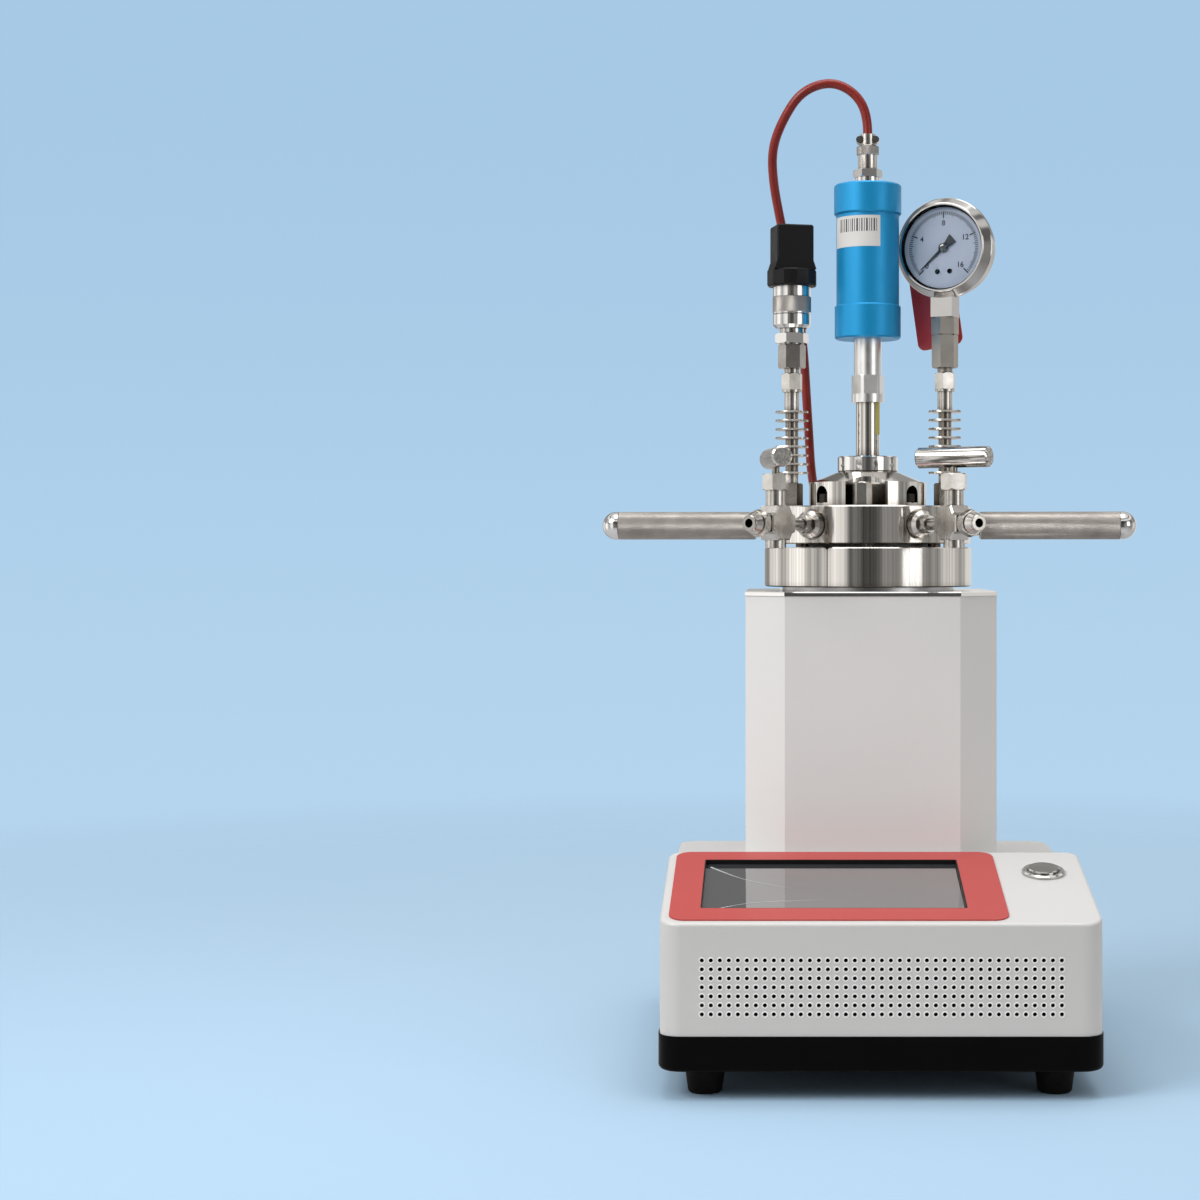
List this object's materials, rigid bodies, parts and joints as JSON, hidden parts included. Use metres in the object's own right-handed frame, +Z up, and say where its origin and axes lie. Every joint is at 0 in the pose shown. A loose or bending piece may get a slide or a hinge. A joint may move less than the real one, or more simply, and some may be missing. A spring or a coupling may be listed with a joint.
{
  "type": "high pressure reactor",
  "caption": "Stirred steel reactor vessel under a bolted lid with two needle valves, gauge, transducer and magnetic drive, on a heated tower and touch screen base.",
  "frame": {"origin": "on the ground, under the middle of the base", "axes": "+Z up, the front with the screen faces -Y, +X is to the right seen from the front"},
  "size_m": [0.3434, 0.2976, 0.6113],
  "materials": {
    "white_paint": "satin white powder coat",
    "black_paint": "satin black paint",
    "foot_rubber": "matte black rubber",
    "red_film": "printed coral red film",
    "screen_glass": "dark glossy touch glass",
    "black_plastic": "moulded black plastic",
    "white_plastic": "white sealing plastic",
    "turned_steel": "turned stainless steel",
    "polished_steel": "polished stainless steel",
    "screw_steel": "plain steel",
    "heater_aluminium": "machined aluminium",
    "wool": "mineral wool",
    "blue_anodised": "satin blue anodised aluminium",
    "motor_paint": "dark painted steel",
    "cable_silicone": "red-brown silicone",
    "window_glass": "flat clear glass",
    "dial_paint": "pale printed dial",
    "pointer_black": "black painted pointer",
    "tag_red": "dark red enamel"
  },
  "bodies": {
    "reactor": {"rubber_feet": "foot_rubber", "base_tray": "black_paint", "base_shell": "white_paint", "screen_overlay": "red_film", "touch_screen": "screen_glass", "power_button_bezel": "polished_steel", "power_inlet": "black_plastic", "tower_casing": "white_paint", "trim_plate": "turned_steel", "heating_jacket": "heater_aluminium", "insulation": "wool", "vessel_cup": "turned_steel", "split_ring_left": "turned_steel", "split_ring_right": "turned_steel", "closure_screws": "screw_steel", "lid_gasket": "white_plastic", "lid": "turned_steel", "side_handles": "turned_steel", "drive_flange": "turned_steel", "hub_screws": "screw_steel", "port_plug": "turned_steel", "collar_nut": "polished_steel", "drive_tube_lower": "turned_steel", "union_nut": "polished_steel", "drive_tube_upper": "turned_steel", "drive_lower_cap": "blue_anodised", "drive_housing": "blue_anodised", "drive_top_cap": "blue_anodised", "stir_motor": "motor_paint", "shaft_bushes": "white_plastic", "cable_socket": "polished_steel", "cable_plug": "turned_steel", "drive_cable": "cable_silicone", "cable_gland": "black_plastic", "valve_inlets": "turned_steel", "valve_bodies": "turned_steel", "packing_nuts": "turned_steel", "valve_outlets": "turned_steel", "cooling_tubes": "turned_steel", "coupling_nuts": "turned_steel", "sensor_adapter": "turned_steel", "transducer": "polished_steel", "seal_ring": "black_plastic", "transducer_connector": "black_plastic", "gauge_adapter": "turned_steel", "gauge_case": "turned_steel", "gauge_bezel": "polished_steel", "gauge_glass": "window_glass", "gauge_dial": "dial_paint", "red_tag": "tag_red"},
    "power_button": {"power_button_cap": "turned_steel"},
    "pointer": {"gauge_pointer": "pointer_black"},
    "rotor": {"outer_magnet": "screw_steel"},
    "stirrer": {"inner_magnet": "screw_steel", "stir_shaft": "turned_steel", "impeller": "turned_steel"},
    "stem_left": {"valve_stem_left": "turned_steel"},
    "stem_right": {"valve_stem_right": "turned_steel"},
    "bar_left": {"valve_bar_left": "turned_steel"},
    "bar_right": {"valve_bar_right": "turned_steel"}
  },
  "joints": [
    {"name": "power_button_press", "type": "slide", "parent": "reactor", "child": "power_button", "axis": [0, 0.1946, -0.9809], "range_m": [0, 0.0025], "stiffness_N_per_m": 800, "springref_m": -0.002},
    {"name": "pointer_turn", "type": "hinge", "parent": "reactor", "child": "pointer", "pos_m": [0.04961, 0.05105, 0.50081], "axis": [0.4067, 0.9135, 0], "range_deg": [0, 270]},
    {"name": "rotor_spin", "type": "hinge", "parent": "reactor", "child": "rotor", "pos_m": [0, 0.054, 0.46], "axis": [0, 0, 1], "continuous": true},
    {"name": "stirrer_spin", "type": "hinge", "parent": "reactor", "child": "stirrer", "pos_m": [0, 0.054, 0.3], "axis": [0, 0, 1], "continuous": true},
    {"name": "stem_left_lift", "type": "slide", "parent": "reactor", "child": "stem_left", "axis": [0, 0, 1], "range_m": [0, 0.005]},
    {"name": "stem_right_lift", "type": "slide", "parent": "reactor", "child": "stem_right", "axis": [0, 0, 1], "range_m": [0, 0.005]},
    {"name": "bar_left_turn", "type": "hinge", "parent": "stem_left", "child": "bar_left", "pos_m": [-0.05918, -0.03575, 0.36235], "axis": [0, 0, 1], "range_deg": [0, 1800]},
    {"name": "bar_right_turn", "type": "hinge", "parent": "stem_right", "child": "bar_right", "pos_m": [0.04813, -0.04212, 0.36235], "axis": [0, 0, 1], "range_deg": [0, 1800]}
  ],
  "couplings": [
    {"joint": "stirrer_spin", "follows": "rotor_spin", "ratio": 1},
    {"joint": "bar_left_turn", "follows": "stem_left_lift", "rad_per_m": 6283.1},
    {"joint": "bar_right_turn", "follows": "stem_right_lift", "rad_per_m": 6283.1}
  ]
}
